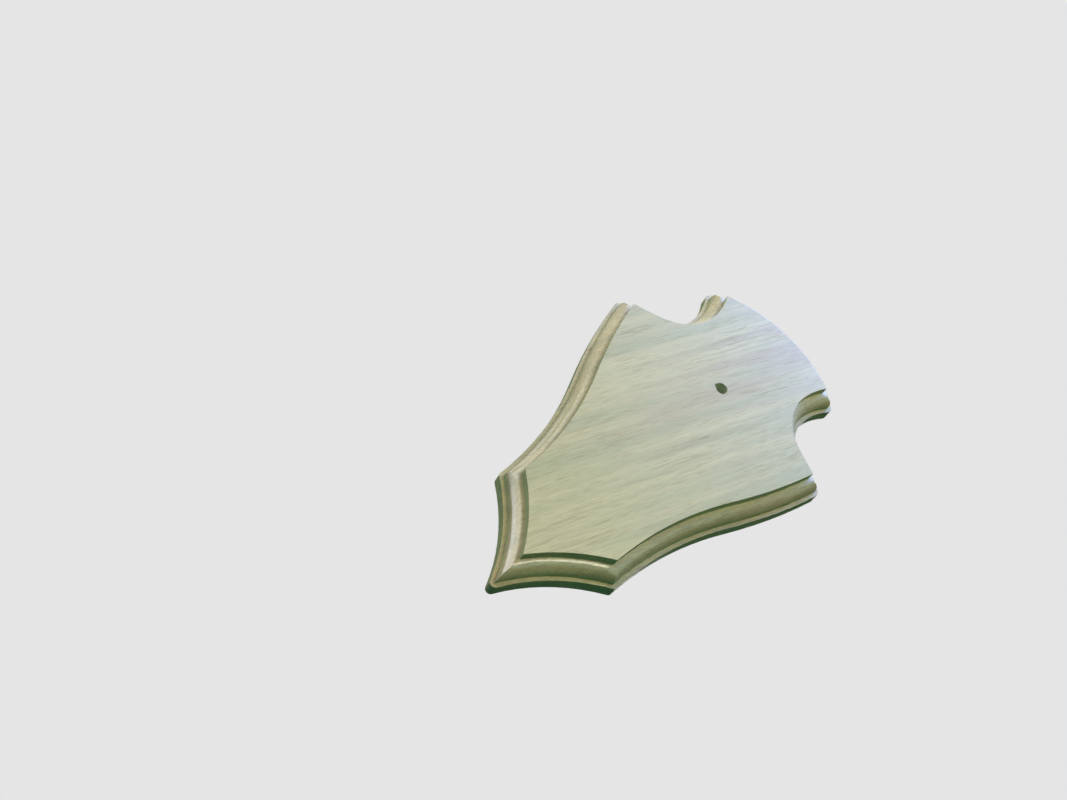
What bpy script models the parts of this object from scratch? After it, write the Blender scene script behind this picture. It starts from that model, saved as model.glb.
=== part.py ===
"""Antler mounting plaque: a small shield of solid oak that carries a pair of antlers on a wall.

The board is one piece. Its front is a flat field, pointed below, with hollow flanks that turn full
under the shoulders, a deep notch above each shoulder and a domed head. A cutter has been run round
the edge: a square step down from the field, a quarter-round, a small fillet and a flat ledge, then
the board's own square side. One screw hole goes through it, countersunk from behind.

The outline is a chain of arcs up the right half, mirrored about the middle. Every line of the moulded
edge is that chain moved outwards by an even distance, so that the moulding mitres at the corners.

Metres, +Z up. The front faces -Y, the flat back lies on y = 0, and the origin is on the back, half
way up the field.
"""

import math
from dataclasses import dataclass

import bmesh
import bpy
from mathutils import Matrix, Vector
from mathutils.geometry import intersect_sphere_sphere_2d

# Outline of the field, from its point upwards
POINT_RISE = 0.0308
POINT_HOLLOW = 0.0020
FOOT_HALF_WIDTH = 0.0250
FLANK_RISE = 0.1130
FLANK_TURN_RISE = 0.0664
FLANK_TURN_OUT = 0.0138
FLANK_LEAN = math.radians(22.2)
SHOULDER_HALF_WIDTH = 0.0535
SHELF_RUN = 0.0113
SHELF_RISE = 0.0054
SHELF_SLOPE = math.radians(26.6)
NOTCH_RADIUS = 0.0278
NOTCH_TURN = math.radians(64.6)
NOTCH_RISE = 0.0480
EAR_HALF_WIDTH = 0.0307
DOME_RISE = 0.0083

# Section of the moulded edge, from the field outwards and back
BOARD_THICKNESS = 0.0150
STEP_DEPTH = 0.0036
OVOLO_RADIUS = 0.0050
FILLET_DEPTH = 0.0008
LEDGE_WIDTH = 0.0018
BACK_EASE = 0.0008

# Rounding of the board's outer corners
TIP_ROUND = 0.0020
FOOT_ROUND = 0.0020
SHOULDER_ROUND = 0.0030
EAR_ROUND = 0.0030

# Screw hole, through the board on its middle line
SCREW_HOLE_DIAMETER = 0.0060
SCREW_HOLE_BELOW_SHOULDERS = 0.0007
COUNTERSINK_DIAMETER = 0.0120
COUNTERSINK_ANGLE = math.radians(90.0)
CUTTER_OVERRUN = 0.0020

# Fineness of the mesh
CHORD_ERROR = 0.00003
OVOLO_STEPS = 8
EASE_STEPS = 3
CORNER_STEPS = 4
HOLE_SIDES = 32
SHARP_ANGLE = math.radians(30.0)
WELD = 0.000001

# Heights above the point of the field, and the origin's
FOOT_HEIGHT = POINT_RISE
SHOULDER_HEIGHT = FOOT_HEIGHT + FLANK_RISE
EAR_HEIGHT = SHOULDER_HEIGHT + NOTCH_RISE
FIELD_HEIGHT = EAR_HEIGHT + DOME_RISE
ORIGIN_HEIGHT = FIELD_HEIGHT / 2
MOULDING_WIDTH = OVOLO_RADIUS + LEDGE_WIDTH
SCREW_HOLE_HEIGHT = SHOULDER_HEIGHT - SCREW_HOLE_BELOW_SHOULDERS

OAK_COLOUR = (0.62, 0.53, 0.36, 1.0)
OAK_ROUGHNESS = 0.45


def direction(angle):
    """Unit vector at this angle from +X, in the plane of the outline."""
    return Vector((math.cos(angle), math.sin(angle)))


@dataclass(frozen=True)
class Arc:
    """Part of a circle in the outline. The radius is negative where the edge is hollow."""

    centre: Vector
    radius: float

    def normal(self, point, offset=0.0):
        """Angle of the edge's outward normal at a point that is this far outside the arc."""
        out = (point - self.centre) / (self.radius + offset)
        return math.atan2(out.y, out.x)

    def point(self, angle, offset=0.0):
        """The point where the outward normal has this angle, this far outside the arc."""
        return self.centre + (self.radius + offset) * direction(angle)

    def mirrored(self):
        """The same arc on the other half of the board."""
        return Arc(Vector((-self.centre.x, self.centre.y)), self.radius)

    def steps(self, start, end):
        """How many straight lines follow the arc between two points within CHORD_ERROR."""
        turn = abs(self.normal(end) - self.normal(start))
        widest = 2 * math.acos(1 - CHORD_ERROR / abs(self.radius))
        return max(1, math.ceil(turn / widest))


@dataclass(frozen=True)
class Joint:
    """Where two arcs meet. A corner is rounded on the outermost line; a smooth joint has no corner."""

    point: Vector
    rounding: float = 0.0
    smooth: bool = False


def tangent_arc(start, heading, end):
    """The arc that leaves start along this heading and passes through end."""
    along = direction(heading)
    left = along.orthogonal()
    reach = end - start
    radius = reach.length_squared / (2 * left.dot(reach))
    return Arc(start + left * radius, radius)


def hollow_arc(start, end, hollow):
    """The arc from start to end that bends in from its chord by hollow."""
    chord = end - start
    half_turn = 2 * math.atan2(2 * hollow, chord.length)
    heading = math.atan2(chord.y, chord.x) + half_turn
    return tangent_arc(start, heading, end)


def half_outline():
    """The arcs of the field's right half from its point to its top, and the joints at their ends."""
    tip = Vector((0.0, 0.0))
    foot = Vector((FOOT_HALF_WIDTH, FOOT_HEIGHT))
    turn = foot + Vector((FLANK_TURN_OUT, FLANK_TURN_RISE))
    shoulder = Vector((SHOULDER_HALF_WIDTH, SHOULDER_HEIGHT))
    shelf_end = shoulder + Vector((-SHELF_RUN, SHELF_RISE))
    ear = Vector((EAR_HALF_WIDTH, EAR_HEIGHT))
    top = Vector((0.0, FIELD_HEIGHT))

    up_flank = math.pi / 2 - FLANK_LEAN
    up_shelf = math.pi - SHELF_SLOPE
    notch = Arc(shelf_end + NOTCH_RADIUS * direction(up_shelf - math.pi / 2), -NOTCH_RADIUS)
    notch_end = notch.point(up_shelf - math.pi / 2 - NOTCH_TURN)

    arcs = [
        hollow_arc(tip, foot, POINT_HOLLOW),
        tangent_arc(turn, up_flank, foot),
        tangent_arc(turn, up_flank, shoulder),
        tangent_arc(shelf_end, up_shelf, shoulder),
        notch,
        tangent_arc(notch_end, up_shelf - NOTCH_TURN, ear),
        tangent_arc(top, math.pi, ear),
    ]
    joints = [
        Joint(tip, rounding=TIP_ROUND),
        Joint(foot, rounding=FOOT_ROUND),
        Joint(turn, smooth=True),
        Joint(shoulder, rounding=SHOULDER_ROUND),
        Joint(shelf_end, smooth=True),
        Joint(notch_end, smooth=True),
        Joint(ear, rounding=EAR_ROUND),
        Joint(top, smooth=True),
    ]
    return arcs, joints


def crossing(before, after, near, offset):
    """The point nearest to near where two arcs, moved outwards by offset, cross."""
    both = intersect_sphere_sphere_2d(
        before.centre, abs(before.radius + offset), after.centre, abs(after.radius + offset)
    )
    return min(both, key=lambda point: (point - near).length)


def joint_points(joint, before, after, offset):
    """The joint on the line this far outside the field: one point, or the points round a corner."""
    if joint.smooth:
        return [before.point(before.normal(joint.point), offset)]
    rounding = max(0.0, joint.rounding - (MOULDING_WIDTH - offset))
    middle = crossing(before, after, joint.point, offset - rounding)
    first = before.normal(middle, offset - rounding)
    last = after.normal(middle, offset - rounding)
    turns = [step / CORNER_STEPS for step in range(CORNER_STEPS + 1)]
    return [middle + rounding * direction(first + (last - first) * turn) for turn in turns]


def half_line(arcs, joints, offset):
    """The outline's right half, moved outwards by offset, as points from the tip to the top."""
    befores = [arcs[0].mirrored()] + arcs
    afters = arcs + [arcs[-1].mirrored()]
    met = [joint_points(*at, offset) for at in zip(joints, befores, afters)]
    met[0] = met[0][CORNER_STEPS // 2 :]
    points = list(met[0])
    for arc, start, end, joint, following in zip(arcs, met, met[1:], joints, joints[1:]):
        steps = arc.steps(joint.point, following.point)
        first = arc.normal(start[-1], offset)
        last = arc.normal(end[0], offset)
        for step in range(1, steps):
            points.append(arc.point(first + (last - first) * step / steps, offset))
        points += end
    points[0].x = 0.0
    points[-1].x = 0.0
    return points


def edge_section():
    """(distance outside the field, depth below it) of each line of the moulded edge, front to back."""
    section = [(0.0, 0.0)]
    for step in range(OVOLO_STEPS + 1):
        angle = math.pi / 2 * step / OVOLO_STEPS
        section.append(
            (OVOLO_RADIUS * math.sin(angle), STEP_DEPTH + OVOLO_RADIUS * (1 - math.cos(angle)))
        )
    ledge_depth = STEP_DEPTH + OVOLO_RADIUS + FILLET_DEPTH
    section.append((OVOLO_RADIUS, ledge_depth))
    section.append((MOULDING_WIDTH, ledge_depth))
    for step in range(EASE_STEPS + 1):
        angle = math.pi / 2 * step / EASE_STEPS
        section.append(
            (
                MOULDING_WIDTH - BACK_EASE * (1 - math.cos(angle)),
                BOARD_THICKNESS - BACK_EASE * (1 - math.sin(angle)),
            )
        )
    return section


def make_oak():
    """Pale satin oak."""
    oak = bpy.data.materials.new("oak")
    oak.use_nodes = True
    shader = oak.node_tree.nodes["Principled BSDF"]
    shader.inputs["Base Color"].default_value = OAK_COLOUR
    shader.inputs["Roughness"].default_value = OAK_ROUGHNESS
    shader.inputs["Metallic"].default_value = 0.0
    oak.diffuse_color = OAK_COLOUR
    return oak


def make_board(oak):
    """The shield: half of it laid out as a grid bent to the moulding, capped, then mirrored."""
    arcs, joints = half_outline()
    section = edge_section()
    lines = [half_line(arcs, joints, offset) for offset, depth in section]
    columns = len(lines[0])

    shape = bmesh.new()
    grid = bmesh.ops.create_grid(
        shape, x_segments=columns - 1, y_segments=len(lines) - 1, size=1.0
    )["verts"]
    rows = [grid[first : first + columns] for first in range(0, len(grid), columns)]
    for row, line, (offset, depth) in zip(rows, lines, section):
        for vert, point in zip(row, line):
            vert.co = (point.x, depth - BOARD_THICKNESS, point.y - ORIGIN_HEIGHT)
    shape.faces.new(rows[0])
    shape.faces.new(rows[-1])
    bmesh.ops.remove_doubles(shape, verts=shape.verts, dist=WELD)
    bmesh.ops.recalc_face_normals(shape, faces=shape.faces)

    mesh = bpy.data.meshes.new("plaque")
    shape.to_mesh(mesh)
    shape.free()
    mesh.materials.append(oak)
    board = bpy.data.objects.new("plaque", mesh)
    mirror = board.modifiers.new("Other half", "MIRROR")
    mirror.use_clip = True
    mirror.merge_threshold = WELD
    return board


def make_cutter(name, front_radius, back_radius, front, back):
    """A round cutter on the screw hole's line, between two depths of y."""
    shape = bmesh.new()
    bmesh.ops.create_cone(
        shape,
        cap_ends=True,
        segments=HOLE_SIDES,
        radius1=back_radius,
        radius2=front_radius,
        depth=back - front,
    )
    bmesh.ops.rotate(shape, verts=shape.verts, matrix=Matrix.Rotation(math.pi / 2, 3, "X"))
    mesh = bpy.data.meshes.new(name)
    shape.to_mesh(mesh)
    shape.free()
    cutter = bpy.data.objects.new(name, mesh)
    cutter.location = (0.0, (front + back) / 2, SCREW_HOLE_HEIGHT - ORIGIN_HEIGHT)
    cutter.hide_render = True
    cutter.display_type = "WIRE"
    return cutter


def make_cutters():
    """The drill, right through the board, and the countersink for the screw's head at the back."""
    hole = SCREW_HOLE_DIAMETER / 2
    widening = math.tan(COUNTERSINK_ANGLE / 2)
    mouth = COUNTERSINK_DIAMETER / 2
    sink_depth = (mouth - hole) / widening
    drill = make_cutter(
        "drill", hole, hole, -BOARD_THICKNESS - CUTTER_OVERRUN, CUTTER_OVERRUN
    )
    countersink = make_cutter(
        "countersink", hole, mouth + CUTTER_OVERRUN * widening, -sink_depth, CUTTER_OVERRUN
    )
    return [drill, countersink]


def main():
    for old in list(bpy.data.objects):
        bpy.data.objects.remove(old)
    collections = {}
    for name in ("antler_plaque", "cutters"):
        collections[name] = bpy.data.collections.new(name)
        bpy.context.scene.collection.children.link(collections[name])
    collections["cutters"].hide_render = True

    board = make_board(make_oak())
    collections["antler_plaque"].objects.link(board)
    for cutter in make_cutters():
        collections["cutters"].objects.link(cutter)
        cut = board.modifiers.new(cutter.name, "BOOLEAN")
        cut.object = cutter
        cut.operation = "DIFFERENCE"
        cut.solver = "EXACT"
    board.data.shade_smooth()
    board.data.set_sharp_from_angle(angle=SHARP_ANGLE)


main()
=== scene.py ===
"""Looks of the antler mounting plaque: a satin-lacquered oak board with a routed edge.

The board stands in for the CAD node of the same form. Its mesh is a merged copy of that node with
the sharp arrises eased, the way a sanding block leaves them, and the front rim of the screw hole
torn a little. The oak is one procedural finish that runs through the whole board as solid wood
does, so the lines that run along the face are cut short where an edge crosses them.

Metres, +Z up. The front faces -Y and the flat back lies on y = 0.
"""

from __future__ import annotations

import logging
import math
from dataclasses import dataclass
from enum import Enum
from typing import Sequence, Union

import bmesh
import bpy
from mathutils import Matrix, Vector


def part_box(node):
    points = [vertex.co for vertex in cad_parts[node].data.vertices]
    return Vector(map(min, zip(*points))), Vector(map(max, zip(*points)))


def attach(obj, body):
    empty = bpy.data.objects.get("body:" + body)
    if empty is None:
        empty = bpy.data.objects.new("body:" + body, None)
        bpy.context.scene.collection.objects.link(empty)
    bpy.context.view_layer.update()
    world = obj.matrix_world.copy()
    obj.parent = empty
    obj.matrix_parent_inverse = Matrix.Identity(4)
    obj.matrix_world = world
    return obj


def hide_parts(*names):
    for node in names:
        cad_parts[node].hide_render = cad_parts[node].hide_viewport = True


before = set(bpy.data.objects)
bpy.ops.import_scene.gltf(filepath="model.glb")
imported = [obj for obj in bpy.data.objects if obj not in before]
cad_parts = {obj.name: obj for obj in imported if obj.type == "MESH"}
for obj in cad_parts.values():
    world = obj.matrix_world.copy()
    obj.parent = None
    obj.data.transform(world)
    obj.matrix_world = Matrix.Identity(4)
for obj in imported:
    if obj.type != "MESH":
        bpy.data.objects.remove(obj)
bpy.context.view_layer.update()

NODE = "plaque"
BODY = "root"

# Red, green, blue and alpha, linear
Colour = tuple[float, float, float, float]
# The two values between which a mask rises from 0 to 1, or falls if the first is the larger
Span = tuple[float, float]

log = logging.getLogger("plaque")


class Maths(Enum):
    """The sums that a shader does on plain values."""

    ADD = "ADD"
    SUBTRACT = "SUBTRACT"
    MULTIPLY = "MULTIPLY"
    DIVIDE = "DIVIDE"
    FRACTION = "FRACT"
    ABSOLUTE = "ABSOLUTE"
    SMALLER = "MINIMUM"
    SQUARE_ROOT = "SQRT"


class VectorMaths(Enum):
    """The sums that a shader does on places and directions."""

    ADD = "ADD"
    SUBTRACT = "SUBTRACT"
    MULTIPLY = "MULTIPLY"
    LENGTH = "LENGTH"
    DOT = "DOT_PRODUCT"


class Axis(Enum):
    """One number of a place or a direction."""

    ACROSS = "X"
    DEPTH = "Y"
    HEIGHT = "Z"


class Blend(Enum):
    """How one colour is laid on another."""

    COVER = "MIX"
    STAIN = "MULTIPLY"


class Signal:
    """One output of a shader's nodes. Arithmetic on it adds Math nodes."""

    def __init__(self, tree: ShaderTree, socket: bpy.types.NodeSocket) -> None:
        """Keeps the socket and the tree that it belongs to."""
        self.tree = tree
        self.socket = socket

    def _with(self, sum_: Maths, first: Value, second: Value = 0.0) -> Signal:
        """The result of one sum on two values."""
        return self.tree.node("ShaderNodeMath", {"operation": sum_.value}, {0: first, 1: second})

    def __add__(self, other: Value) -> Signal:
        """self + other."""
        return self._with(Maths.ADD, self, other)

    def __radd__(self, other: Value) -> Signal:
        """other + self."""
        return self._with(Maths.ADD, other, self)

    def __sub__(self, other: Value) -> Signal:
        """self - other."""
        return self._with(Maths.SUBTRACT, self, other)

    def __rsub__(self, other: Value) -> Signal:
        """other - self."""
        return self._with(Maths.SUBTRACT, other, self)

    def __mul__(self, other: Value) -> Signal:
        """self times other."""
        return self._with(Maths.MULTIPLY, self, other)

    def __rmul__(self, other: Value) -> Signal:
        """other times self."""
        return self._with(Maths.MULTIPLY, other, self)

    def __truediv__(self, other: Value) -> Signal:
        """self over other."""
        return self._with(Maths.DIVIDE, self, other)

    def __rtruediv__(self, other: Value) -> Signal:
        """other over self."""
        return self._with(Maths.DIVIDE, other, self)

    def fraction(self) -> Signal:
        """What is left past the whole number below."""
        return self._with(Maths.FRACTION, self)

    def size(self) -> Signal:
        """The value without its sign."""
        return self._with(Maths.ABSOLUTE, self)

    def root(self) -> Signal:
        """The square root."""
        return self._with(Maths.SQUARE_ROOT, self)

    def at_most(self, other: Value) -> Signal:
        """The smaller of self and other."""
        return self._with(Maths.SMALLER, self, other)

    def rise(self, low: float, high: float) -> Signal:
        """A smooth step from 0 at low to 1 at high.

        Args:
            low: The value where the step starts.
            high: The value where it is done. Below low, the step falls instead.

        Returns:
            The step, never outside 0 to 1. A falling step is 1 at high and 0 at low.
        """
        falls = high < low
        settings = {"interpolation_type": "SMOOTHSTEP"}
        ends = {"From Min": min(low, high), "From Max": max(low, high), "To Min": 0.0, "To Max": 1.0}
        step = self.tree.node("ShaderNodeMapRange", settings, {"Value": self, **ends})
        return 1.0 - step if falls else step


Value = Union[Signal, float, Sequence[float]]


class ShaderTree:
    """The nodes of one material or world."""

    def __init__(self, nodes: bpy.types.NodeTree) -> None:
        """Keeps the node tree that the nodes are added to."""
        self.tree = nodes

    def node(
        self,
        kind: str,
        settings: dict[str, object] | None = None,
        sockets: dict[Union[str, int], Value] | None = None,
        output: Union[str, int] = 0,
    ) -> Signal:
        """Adds a node, sets it up and feeds it.

        Args:
            kind: The node's Blender type.
            settings: Its properties, such as an operation, set before the sockets.
            sockets: A value or a signal for each of its inputs, by name or by number.
            output: The output that the signal reads.

        Returns:
            The signal of that output.
        """
        node = self.tree.nodes.new(kind)
        for name, setting in (settings or {}).items():
            setattr(node, name, setting)
        for name, value in (sockets or {}).items():
            self.feed(node.inputs[name], value)
        return Signal(self, node.outputs[output])

    def feed(self, socket: bpy.types.NodeSocket, value: Value) -> None:
        """Links a signal to a socket, or sets the socket to a plain value.

        Args:
            socket: The input that is fed.
            value: The signal, number, colour or vector.
        """
        if isinstance(value, Signal):
            self.tree.links.new(value.socket, socket)
        else:
            socket.default_value = value

    def mix(self, factor: Value, first: Value, second: Value, blend: Blend = Blend.COVER) -> Signal:
        """Lays the second colour on the first, as strongly as the factor says."""
        settings = {"data_type": "RGBA", "blend_type": blend.value, "clamp_factor": True}
        # A Mix node holds a set of sockets for each kind of data; these are the colour's
        return self.node("ShaderNodeMix", settings, {0: factor, 6: first, 7: second}, output=2)

    def vector(self, sum_: VectorMaths, first: Value, second: Value = (0.0, 0.0, 0.0)) -> Signal:
        """The result of one sum on two vectors: a number for a length or a dot, else a vector."""
        output = "Value" if sum_ in (VectorMaths.LENGTH, VectorMaths.DOT) else "Vector"
        return self.node("ShaderNodeVectorMath", {"operation": sum_.value}, {0: first, 1: second}, output)

    def part(self, vector: Signal, axis: Axis) -> Signal:
        """One number of a vector."""
        return self.node("ShaderNodeSeparateXYZ", sockets={0: vector}, output=axis.value)

    def spread(self, coordinates: Signal, across: float, along: float) -> Signal:
        """Coordinates multiplied, so that a pattern on them has so many lumps to the metre."""
        return self.vector(VectorMaths.MULTIPLY, coordinates, (across, across, along))

    def cloud(self, coordinates: Signal, detail: float, offset: float) -> Signal:
        """Soft noise with one lump to each unit of the coordinates.

        Args:
            coordinates: Where the noise is read.
            detail: How many finer layers lie in it.
            offset: How far it is moved, so that no two patterns fall together.

        Returns:
            The noise, from 0 to 1.
        """
        moved = self.vector(VectorMaths.ADD, coordinates, (offset, offset, offset))
        sockets = {"Vector": moved, "Scale": 1.0, "Detail": detail}
        return self.node("ShaderNodeTexNoise", {"noise_dimensions": "3D"}, sockets)


@dataclass(frozen=True)
class Surface:
    """A point of the board's surface, as the shader reads it.

    The place is in the board's own coordinates. The grain is that place turned, so that its height
    runs along the grain. The facing is the direction that the surface looks in.
    """

    tree: ShaderTree
    place: Signal
    grain: Signal
    facing: Signal


@dataclass(frozen=True)
class Figure:
    """A soft pattern drawn out along the grain, in lumps to the metre across it and along it."""

    across: float
    along: float
    detail: float
    offset: float
    marked: Span = (0.0, 1.0)

    def noise(self, surface: Surface) -> Signal:
        """The pattern itself, a soft noise from 0 to 1."""
        place = surface.tree.spread(surface.grain, self.across, self.along)
        return surface.tree.cloud(place, self.detail, self.offset)

    def marks(self, surface: Surface) -> Signal:
        """The pattern as marks with soft ends, 0 between them and 1 in them."""
        return self.noise(surface).rise(*self.marked)


@dataclass(frozen=True)
class Stain:
    """A colour for the wood, how strongly it is laid, and how much more so on the routed edge."""

    colour: Colour
    strength: float = 1.0
    more_on_edge: float = 0.0
    blend: Blend = Blend.STAIN

    def laid_on(self, wood: Signal, mask: Signal, edge: Signal) -> Signal:
        """Lays the colour on the wood.

        Args:
            wood: The wood's colour so far.
            mask: Where the stain shows, from 0 to 1.
            edge: 1 on the routed edge and the back, 0 on the field.

        Returns:
            The wood's colour with the stain.
        """
        strength = self.strength + edge * self.more_on_edge if self.more_on_edge else self.strength
        return wood.tree.mix(mask * strength, wood, self.colour, self.blend)


@dataclass(frozen=True)
class ScrewHole:
    """The hole through the board, and the way the drill tore its rim. Lengths in metres."""

    height: float = 0.04305
    radius: float = 0.003
    tear_depth: float = 0.0012
    tear_reach: float = 0.0006
    # Each tear is a bearing round the hole in degrees, its reach outwards and its half-width in degrees
    tears: tuple[tuple[float, float, float], ...] = (
        (196.0, 0.00042, 16.0),
        (236.0, -0.00024, 24.0),
        (158.0, -0.00018, 18.0),
        (72.0, 0.00014, 14.0),
        (20.0, -0.00012, 20.0),
        (318.0, 0.00010, 15.0),
    )

    def reach(self, bearing: float) -> float:
        """How far the torn rim stands out from the round hole.

        Args:
            bearing: The direction from the hole's middle, in degrees.

        Returns:
            The reach outwards in metres, below zero where the rim stands in.
        """
        total = 0.0
        for middle, reach, half_width in self.tears:
            away = abs((bearing - middle + 180.0) % 360.0 - 180.0)
            total += reach * math.exp(-((away / half_width) ** 2))
        return total

    def tear(self, shape: bmesh.types.BMesh, front: float) -> None:
        """Pushes the rim in and out.

        Args:
            shape: The board.
            front: The y of the board's face.
        """
        for vert in shape.verts:
            out = Vector((vert.co.x, 0.0, vert.co.z - self.height))
            at_rim = abs(out.length - self.radius) < self.tear_reach
            if at_rim and vert.co.y < front + self.tear_depth:
                bearing = math.degrees(math.atan2(out.z, out.x))
                vert.co += out.normalized() * self.reach(bearing)


@dataclass(frozen=True)
class OakFinish:
    """Pale oak under a thin satin lacquer. Lengths in metres."""

    hole: ScrewHole
    front: float

    # The clean wood and the broad bands in it
    grain_lean: float = math.radians(17.0)
    cream: Colour = (0.645, 0.556, 0.226, 1.0)
    greenish: Colour = (0.530, 0.482, 0.190, 1.0)
    pinkish: Colour = (0.562, 0.458, 0.188, 1.0)
    green_bands: Figure = Figure(across=150.0, along=5.0, detail=3.0, offset=21.0, marked=(0.40, 0.64))
    pink_bands: Figure = Figure(across=100.0, along=6.0, detail=2.0, offset=33.0, marked=(0.50, 0.70))

    # The growth rings, round a pith that lies outside the board
    ring_spacing: float = 0.0026
    pith_across: float = -0.115
    pith_behind: float = 0.085
    ring_wander: Figure = Figure(across=40.0, along=6.0, detail=3.0, offset=0.0)
    ring_ripple: Figure = Figure(across=220.0, along=14.0, detail=2.0, offset=7.0)
    rings_of_wander: float = 5.0
    rings_of_ripple: float = 0.7
    late_wood: Span = (0.25, 0.95)
    ring_end: Span = (1.0, 0.93)

    # The pores, as cells to the metre
    pores_across: float = 2800.0
    pores_along: float = 90.0
    pore_wall: Span = (0.42, 0.22)
    pore_crowd: Figure = Figure(across=300.0, along=30.0, detail=2.0, offset=3.0)
    early_wood_crowd: float = 0.35
    crowded: Span = (0.62, 0.88)

    # The darker lines, and the patches where they are stronger
    fine_lines: Figure = Figure(across=1500.0, along=70.0, detail=3.0, offset=11.0, marked=(0.50, 0.64))
    broad_lines: Figure = Figure(across=420.0, along=7.0, detail=3.0, offset=5.0, marked=(0.50, 0.72))
    line_patches: Figure = Figure(across=110.0, along=14.0, detail=2.0, offset=15.0, marked=(0.42, 0.62))
    fine_line_share: float = 0.85
    broad_line_share: float = 0.45
    plain_line_strength: float = 0.35
    patch_line_strength: float = 1.1

    # The short torn fibres that a cutter leaves
    torn_fibres: Figure = Figure(across=1500.0, along=320.0, detail=2.0, offset=41.0, marked=(0.46, 0.66))

    # Where the board was worked, and which sides take the painted shade: depths behind the field, heights,
    # and how squarely a surface faces
    routed_depth: Span = (0.0001, 0.0006)
    dulled_height: Span = (-0.030, 0.015)
    side_facing: Span = (0.35, 0.12)
    end_grain_facing: Span = (0.25, 0.95)
    bore_depth: Span = (0.0002, 0.0006)
    bore_margin: Span = (0.0008, 0.0006)

    # What is laid on the clean wood
    ring_stain: Stain = Stain((0.80, 0.76, 0.68, 1.0), strength=0.22)
    line_stain: Stain = Stain((0.80, 0.76, 0.68, 1.0), strength=0.54, more_on_edge=0.40)
    routed_stain: Stain = Stain((0.98, 0.98, 0.97, 1.0))
    end_grain_stain: Stain = Stain((0.86, 0.79, 0.70, 1.0), strength=0.6)
    pore_stain: Stain = Stain((0.52, 0.46, 0.36, 1.0), strength=0.48, more_on_edge=0.16)
    fibre_stain: Stain = Stain((0.52, 0.46, 0.36, 1.0), strength=0.07, more_on_edge=0.28)
    # Painted reflection: the routed edge is covered a little with a pale grey, for the pale sheen of its
    # lacquer
    routed_painted_sheen: Stain = Stain((0.64, 0.59, 0.60, 1.0), strength=0.14, blend=Blend.COVER)
    # Painted shade: the walls and steps that stand square to the face are made darker and greener, for the
    # green shade that falls on them
    side_painted_shade: Stain = Stain((0.62, 0.84, 0.74, 1.0))
    bore_wood: Stain = Stain((0.62, 0.66, 0.44, 1.0), strength=0.8, blend=Blend.COVER)

    # The lacquer. Rubbed is where it was sanded back or soaked in
    rubbed_where_dulled: float = 0.46
    rubbed_on_sides: float = 0.60
    most_rubbed: float = 0.60
    roughness: float = 0.42
    roughness_lost_on_edge: float = 0.18
    roughness_where_rubbed: float = 0.60
    roughness_in_pores: float = 0.20
    roughness_in_lines: float = 0.06
    coat: float = 0.70
    coat_on_edge: float = 0.25
    coat_lost_where_rubbed: float = 1.45
    coat_lost_in_pores: float = 0.05
    coat_roughness: float = 0.18
    specular_level: float = 0.5

    # How deep the relief goes
    ring_depth: float = 0.00001
    pore_depth: float = 0.00004
    line_depth: float = 0.00001
    fibre_depth: float = 0.00003
    relief_strength: float = 0.8

    def material(self) -> bpy.types.Material:
        """Builds the finish.

        Returns:
            A material on Object coordinates.
        """
        material = bpy.data.materials.new("satin_oak")
        material.use_nodes = True
        shader = material.node_tree.nodes["Principled BSDF"]
        surface = self.surface(ShaderTree(material.node_tree))
        feed = surface.tree.feed

        rings = self.rings(surface)
        pores = self.pores(surface, rings)
        lines = self.lines(surface)
        fibres = self.torn_fibres.marks(surface)
        routed = self.depth(surface).rise(*self.routed_depth)
        side = self.side(surface) * routed

        wood = self.clean_wood(surface)
        for mask, stain in (
            (rings, self.ring_stain),
            (lines, self.line_stain),
            (routed, self.routed_stain),
            (self.end_grain(surface), self.end_grain_stain),
            (pores, self.pore_stain),
            (fibres, self.fibre_stain),
            # painted sheen: a pale grey laid over the routed edge
            (routed, self.routed_painted_sheen),
            # painted shade: the sides darker and greener
            (side, self.side_painted_shade),
            (self.bore(surface), self.bore_wood),
        ):
            wood = stain.laid_on(wood, mask, routed)
        feed(shader.inputs["Base Color"], wood)

        dulled = self.dulled(surface) * routed
        rubbed = (dulled * self.rubbed_where_dulled + side * self.rubbed_on_sides).at_most(self.most_rubbed)
        lacquer = self.roughness - routed * self.roughness_lost_on_edge + rubbed * self.roughness_where_rubbed
        dry = pores * self.roughness_in_pores + lines * self.roughness_in_lines
        coat = self.coat + routed * self.coat_on_edge - rubbed * self.coat_lost_where_rubbed
        feed(shader.inputs["Roughness"], lacquer + dry)
        feed(shader.inputs["Coat Weight"], coat - pores * self.coat_lost_in_pores)
        feed(shader.inputs["Coat Roughness"], self.coat_roughness)
        feed(shader.inputs["Specular IOR Level"], self.specular_level)

        relief = rings * -self.ring_depth + pores * -self.pore_depth + lines * -self.line_depth
        relief = relief + fibres * routed * -self.fibre_depth
        sockets = {"Height": relief, "Distance": 1.0, "Strength": self.relief_strength}
        feed(shader.inputs["Normal"], surface.tree.node("ShaderNodeBump", sockets=sockets))
        return material

    def surface(self, tree: ShaderTree) -> Surface:
        """What the shader reads of the surface.

        Args:
            tree: The material's nodes.

        Returns:
            The surface in the board's own coordinates.
        """
        place = tree.node("ShaderNodeTexCoord", output="Object")
        facing = tree.node("ShaderNodeTexCoord", output="Normal")
        sockets = {"Vector": place, "Rotation": (0.0, -self.grain_lean, 0.0)}
        return Surface(tree, place, tree.node("ShaderNodeMapping", sockets=sockets), facing)

    def clean_wood(self, surface: Surface) -> Signal:
        """The clean wood, in broad soft bands of cream, green and pink along the grain."""
        wood = surface.tree.mix(self.green_bands.marks(surface), self.cream, self.greenish)
        return surface.tree.mix(self.pink_bands.marks(surface), wood, self.pinkish)

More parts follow.
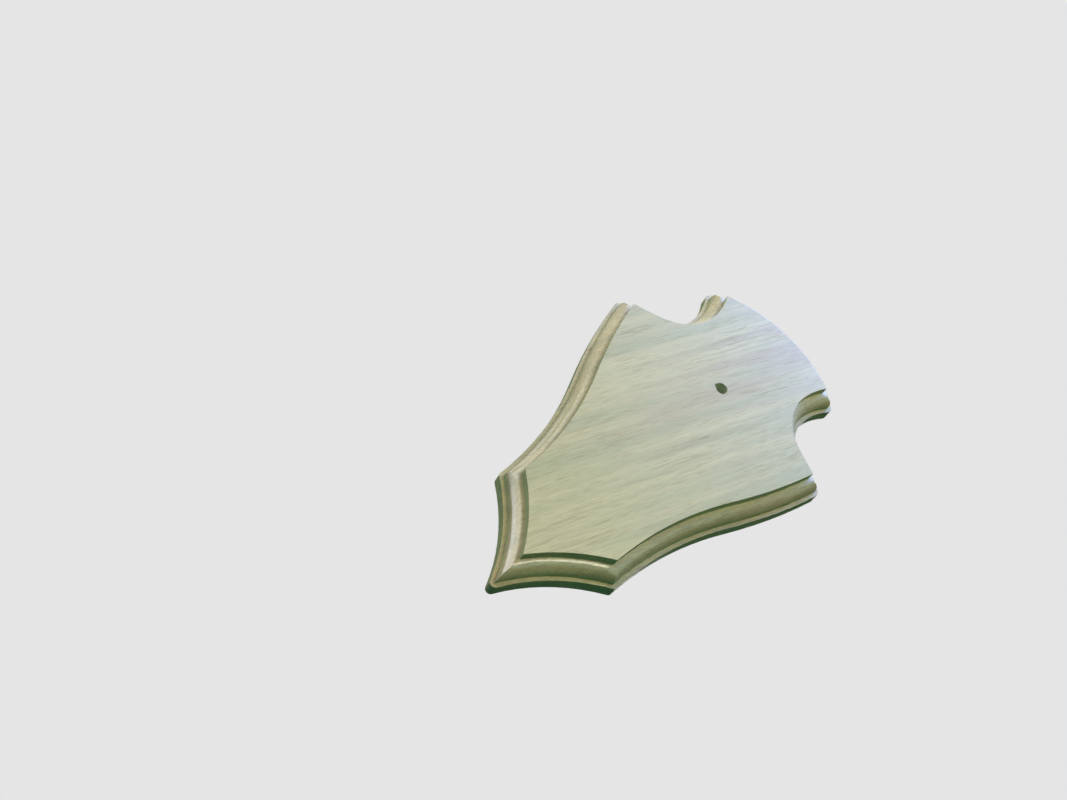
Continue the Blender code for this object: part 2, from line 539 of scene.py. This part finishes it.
    def rings(self, surface: Surface) -> Signal:
        """How dark the growth ring is.

        Args:
            surface: The board's surface.

        Returns:
            0 in the early wood, rising to 1 near the ring's end.
        """
        across = surface.tree.part(surface.grain, Axis.ACROSS) - self.pith_across
        behind = surface.tree.part(surface.grain, Axis.DEPTH) - self.pith_behind
        distance = (across * across + behind * behind).root()
        wander = self.ring_wander.noise(surface) * self.rings_of_wander
        ripple = self.ring_ripple.noise(surface) * self.rings_of_ripple
        ring = (distance / self.ring_spacing + wander + ripple).fraction()
        return ring.rise(*self.late_wood) * ring.rise(*self.ring_end)

    def pores(self, surface: Surface, rings: Signal) -> Signal:
        """The long open vessels, packed in the early wood and scattered elsewhere.

        Args:
            surface: The board's surface.
            rings: How dark the growth ring is.

        Returns:
            1 in an open pore, 0 in sound wood.
        """
        place = surface.tree.spread(surface.grain, self.pores_across, self.pores_along)
        settings = {"voronoi_dimensions": "3D", "feature": "F1"}
        sockets = {"Vector": place, "Scale": 1.0, "Randomness": 1.0}
        from_middle = surface.tree.node("ShaderNodeTexVoronoi", settings, sockets)
        crowd = self.pore_crowd.noise(surface) + (1.0 - rings) * self.early_wood_crowd
        return from_middle.rise(*self.pore_wall) * crowd.rise(*self.crowded)

    def lines(self, surface: Surface) -> Signal:
        """Darker lines along the grain, stronger in some patches than in others.

        Args:
            surface: The board's surface.

        Returns:
            How strong the lines are, 0 between them.
        """
        fine = self.fine_lines.marks(surface) * self.fine_line_share
        broad = self.broad_lines.marks(surface) * self.broad_line_share
        patches = self.line_patches.marks(surface) * self.patch_line_strength
        return (fine + broad) * (self.plain_line_strength + patches)

    def depth(self, surface: Surface) -> Signal:
        """How far behind the flat field the surface lies."""
        return surface.tree.part(surface.place, Axis.DEPTH) - self.front

    def dulled(self, surface: Surface) -> Signal:
        """0 low on the board, 1 higher up, where the routed edge was sanded back duller."""
        return surface.tree.part(surface.place, Axis.HEIGHT).rise(*self.dulled_height)

    def side(self, surface: Surface) -> Signal:
        """1 on surfaces that stand square to the face, 0 on those that look forwards or back."""
        return surface.tree.part(surface.facing, Axis.DEPTH).size().rise(*self.side_facing)

    def end_grain(self, surface: Surface) -> Signal:
        """How squarely the surface is cut across the grain, from 0 to 1."""
        grain = (math.sin(self.grain_lean), 0.0, math.cos(self.grain_lean))
        return surface.tree.vector(VectorMaths.DOT, surface.facing, grain).size().rise(*self.end_grain_facing)

    def bore(self, surface: Surface) -> Signal:
        """The raw wood inside the screw hole.

        Args:
            surface: The board's surface.

        Returns:
            1 in the hole, behind its rim, and 0 elsewhere.
        """
        tree = surface.tree
        from_middle = tree.vector(VectorMaths.SUBTRACT, surface.place, (0.0, 0.0, self.hole.height))
        from_axis = tree.vector(VectorMaths.MULTIPLY, from_middle, (1.0, 0.0, 1.0))
        edges = [self.hole.radius + margin for margin in self.bore_margin]
        inside = tree.vector(VectorMaths.LENGTH, from_axis).rise(*edges)
        return inside * self.depth(surface).rise(*self.bore_depth)


@dataclass
class Board:
    """The plaque's own board, from the CAD node that it stands for. Lengths in metres.

    Loose triangles are joined where they bend and skew less than the limits. An edge sharper than
    arris_angle is eased, and one sharper than crease_angle stays a crease in the shading.
    """

    node: bpy.types.Object
    hole: ScrewHole
    front: float
    weld: float = 0.000001
    most_bend: float = math.radians(8.0)
    most_skew: float = math.radians(60.0)
    arris_angle: float = math.radians(30.0)
    arris_ease: float = 0.00028
    arris_segments: int = 2
    crease_angle: float = math.radians(25.0)
    flat_face_weight: int = 100

    def merged_copy(self) -> bmesh.types.BMesh:
        """The node's shape with its loose triangles joined up.

        Returns:
            A new mesh, with pairs of triangles made one face where they make a good one.
        """
        shape = bmesh.new()
        shape.from_mesh(self.node.data)
        bmesh.ops.remove_doubles(shape, verts=shape.verts, dist=self.weld)
        bmesh.ops.join_triangles(
            shape,
            faces=shape.faces,
            angle_face_threshold=self.most_bend,
            angle_shape_threshold=self.most_skew,
        )
        return shape

    def ease_arrises(self, shape: bmesh.types.BMesh) -> None:
        """Rounds every outward sharp edge a little, as sanding does.

        Args:
            shape: The board.
        """
        sharp = [
            edge
            for edge in shape.edges
            if edge.is_manifold and edge.is_convex and edge.calc_face_angle(0.0) > self.arris_angle
        ]
        bmesh.ops.bevel(
            shape,
            geom=sharp,
            offset=self.arris_ease,
            offset_type="OFFSET",
            segments=self.arris_segments,
            profile=0.5,
            affect="EDGES",
            material=-1,
            clamp_overlap=True,
        )

    def build(self, finish: OakFinish) -> bpy.types.Object:
        """Makes the board, dresses it and hangs it on the frame.

        Args:
            finish: The oak that it is made of.

        Returns:
            The finished object, at the origin.
        """
        shape = self.merged_copy()
        self.ease_arrises(shape)
        self.hole.tear(shape, self.front)
        for face in shape.faces:
            face.smooth = True
        for edge in shape.edges:
            edge.smooth = edge.calc_face_angle(0.0) < self.crease_angle
        mesh = bpy.data.meshes.new("oak_board")
        shape.to_mesh(mesh)
        shape.free()
        mesh.materials.append(finish.material())
        board = bpy.data.objects.new("oak_board", mesh)
        bpy.context.scene.collection.objects.link(board)
        even = board.modifiers.new("Flat faces stay flat", "WEIGHTED_NORMAL")
        even.weight = self.flat_face_weight
        even.keep_sharp = True
        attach(board, BODY)
        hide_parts(NODE)
        return board


@dataclass(frozen=True)
class SoftBox:
    """A square soft box that faces the middle of the board. Angles in degrees, lengths in metres.

    The bearing goes round the board's face from its right-hand side, through its top. The rise is
    how far the box stands out in front of the face. The brightness is that of the box's own face,
    in red, green and blue, so a wider box gives more light.
    """

    name: str
    bearing: float
    rise: float
    brightness: tuple[float, float, float]
    width: float = 0.5
    distance: float = 1.5

    def place(self) -> Vector:
        """Where the box stands.

        Returns:
            The place of its middle.
        """
        rise = math.radians(self.rise)
        bearing = math.radians(self.bearing)
        beside = math.cos(rise)
        return self.distance * Vector(
            (beside * math.cos(bearing), -math.sin(rise), beside * math.sin(bearing))
        )

    def build(self) -> bpy.types.Object:
        """Adds the light to the scene.

        Returns:
            The light's object.
        """
        lamp = bpy.data.lights.new(self.name, "AREA")
        lamp.shape = "SQUARE"
        lamp.size = self.width
        strongest = max(self.brightness)
        lamp.energy = math.pi * self.width**2 * strongest
        lamp.color = [part / strongest for part in self.brightness]
        light = bpy.data.objects.new(self.name, lamp)
        light.location = self.place()
        light.visible_camera = False
        light.rotation_mode = "QUATERNION"
        light.rotation_quaternion = (-self.place()).to_track_quat("-Z", "Y")
        bpy.context.scene.collection.objects.link(light)
        return light


@dataclass
class Studio:
    """The camera, the lights and the pale surroundings. Lengths in metres, the lens in millimetres."""

    lights: list[SoftBox]
    backdrop: Colour = (0.7835, 0.7835, 0.7835, 1.0)
    fill: Colour = (0.010, 0.017, 0.012, 1.0)
    floor_height: float = -0.62
    floor_size: float = 30.0
    camera_place: tuple[float, float, float] = (0.0673, -0.4748, -0.47465)
    camera_forward: tuple[float, float, float] = (-0.175, 0.715, 0.676)
    camera_up: tuple[float, float, float] = (-0.688, -0.580, 0.436)
    camera_lens: float = 53.98
    sensor: float = 36.0
    nearest_seen: float = 0.01

    def build_camera(self) -> None:
        """Places the camera where the photograph was taken."""
        lens = bpy.data.cameras.new("camera")
        lens.lens = self.camera_lens
        lens.sensor_width = self.sensor
        lens.clip_start = self.nearest_seen
        camera = bpy.data.objects.new("camera", lens)
        back = -Vector(self.camera_forward).normalized()
        right = Vector(self.camera_up).cross(back).normalized()
        up = back.cross(right)
        turn = Matrix((right, up, back)).transposed()
        camera.matrix_world = Matrix.Translation(self.camera_place) @ turn.to_4x4()
        bpy.context.scene.collection.objects.link(camera)
        bpy.context.scene.camera = camera

    def build_world(self) -> None:
        """A pale backdrop to the eye, which lends the board only a dim light."""
        world = bpy.data.worlds.new("studio")
        world.use_nodes = True
        bpy.context.scene.world = world
        tree = ShaderTree(world.node_tree)
        seen = tree.node("ShaderNodeLightPath", output="Is Camera Ray")
        colour = tree.mix(seen, self.fill, self.backdrop)
        tree.feed(world.node_tree.nodes["Background"].inputs["Color"], colour)

    def build_floor(self) -> None:
        """A pale floor, well below the board, that shows as evenly as the backdrop."""
        shape = bmesh.new()
        bmesh.ops.create_grid(shape, x_segments=1, y_segments=1, size=self.floor_size / 2)
        bmesh.ops.translate(shape, verts=shape.verts, vec=(0.0, 0.0, self.floor_height))
        mesh = bpy.data.meshes.new("floor")
        shape.to_mesh(mesh)
        shape.free()
        paper = bpy.data.materials.new("pale_paper")
        paper.use_nodes = True
        sheet = paper.node_tree.nodes["Principled BSDF"]
        sheet.inputs["Base Color"].default_value = (0.0, 0.0, 0.0, 1.0)
        sheet.inputs["Specular IOR Level"].default_value = 0.0
        sheet.inputs["Emission Color"].default_value = self.backdrop
        sheet.inputs["Emission Strength"].default_value = 1.0
        mesh.materials.append(paper)
        floor = bpy.data.objects.new("floor", mesh)
        floor.visible_diffuse = False
        floor.visible_glossy = False
        bpy.context.scene.collection.objects.link(floor)

    def build(self) -> None:
        """Sets up the whole studio."""
        self.build_camera()
        self.build_world()
        self.build_floor()
        for light in self.lights:
            light.build()
        bpy.context.scene.view_settings.view_transform = "Standard"


def soft_boxes() -> list[SoftBox]:
    """The lights that together give the photograph's light on the board."""
    return [
        SoftBox("front_box", bearing=50.0, rise=72.0, brightness=(9.90, 9.60, 7.70)),
        SoftBox("window_high", bearing=92.0, rise=18.5, brightness=(3.80, 6.20, 15.30), width=0.9),
        SoftBox("window_edge", bearing=120.0, rise=22.0, brightness=(3.20, 2.90, 2.80)),
        SoftBox("top_left_box", bearing=150.0, rise=38.0, brightness=(2.00, 2.00, 2.20), width=0.8),
        SoftBox("left_box", bearing=180.0, rise=38.0, brightness=(2.15, 2.15, 2.30), width=0.8),
        SoftBox("left_rim_box", bearing=182.0, rise=8.0, brightness=(3.20, 3.45, 3.90), width=0.9),
        SoftBox("lower_left_box", bearing=240.0, rise=8.0, brightness=(6.00, 8.60, 11.60)),
        SoftBox("lower_right_box", bearing=0.0, rise=55.0, brightness=(0.50, 0.80, 0.70), width=0.9),
        SoftBox("right_box", bearing=30.0, rise=38.0, brightness=(0.60, 0.85, 0.75), width=0.9),
        SoftBox("behind_box", bearing=135.0, rise=-8.0, brightness=(0.80, 0.90, 0.95), width=0.9),
        SoftBox("green_bounce", bearing=285.0, rise=-16.0, brightness=(0.34, 0.94, 0.88), width=1.5),
        SoftBox("back_box", bearing=90.0, rise=-46.0, brightness=(8.0, 7.8, 7.2), width=0.6),
    ]


def main() -> None:
    """Builds the board and the studio round it, and reports each piece."""
    logging.basicConfig(level=logging.INFO, format="%(name)s: %(message)s")
    hole = ScrewHole()
    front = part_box(NODE)[0].y
    board = Board(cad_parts[NODE], hole, front).build(OakFinish(hole, front))
    log.info("%s: %d faces", board.name, len(board.data.polygons))
    lights = soft_boxes()
    Studio(lights).build()
    log.info("studio: %d lights", len(lights))


if __name__ == "__main__":
    main()
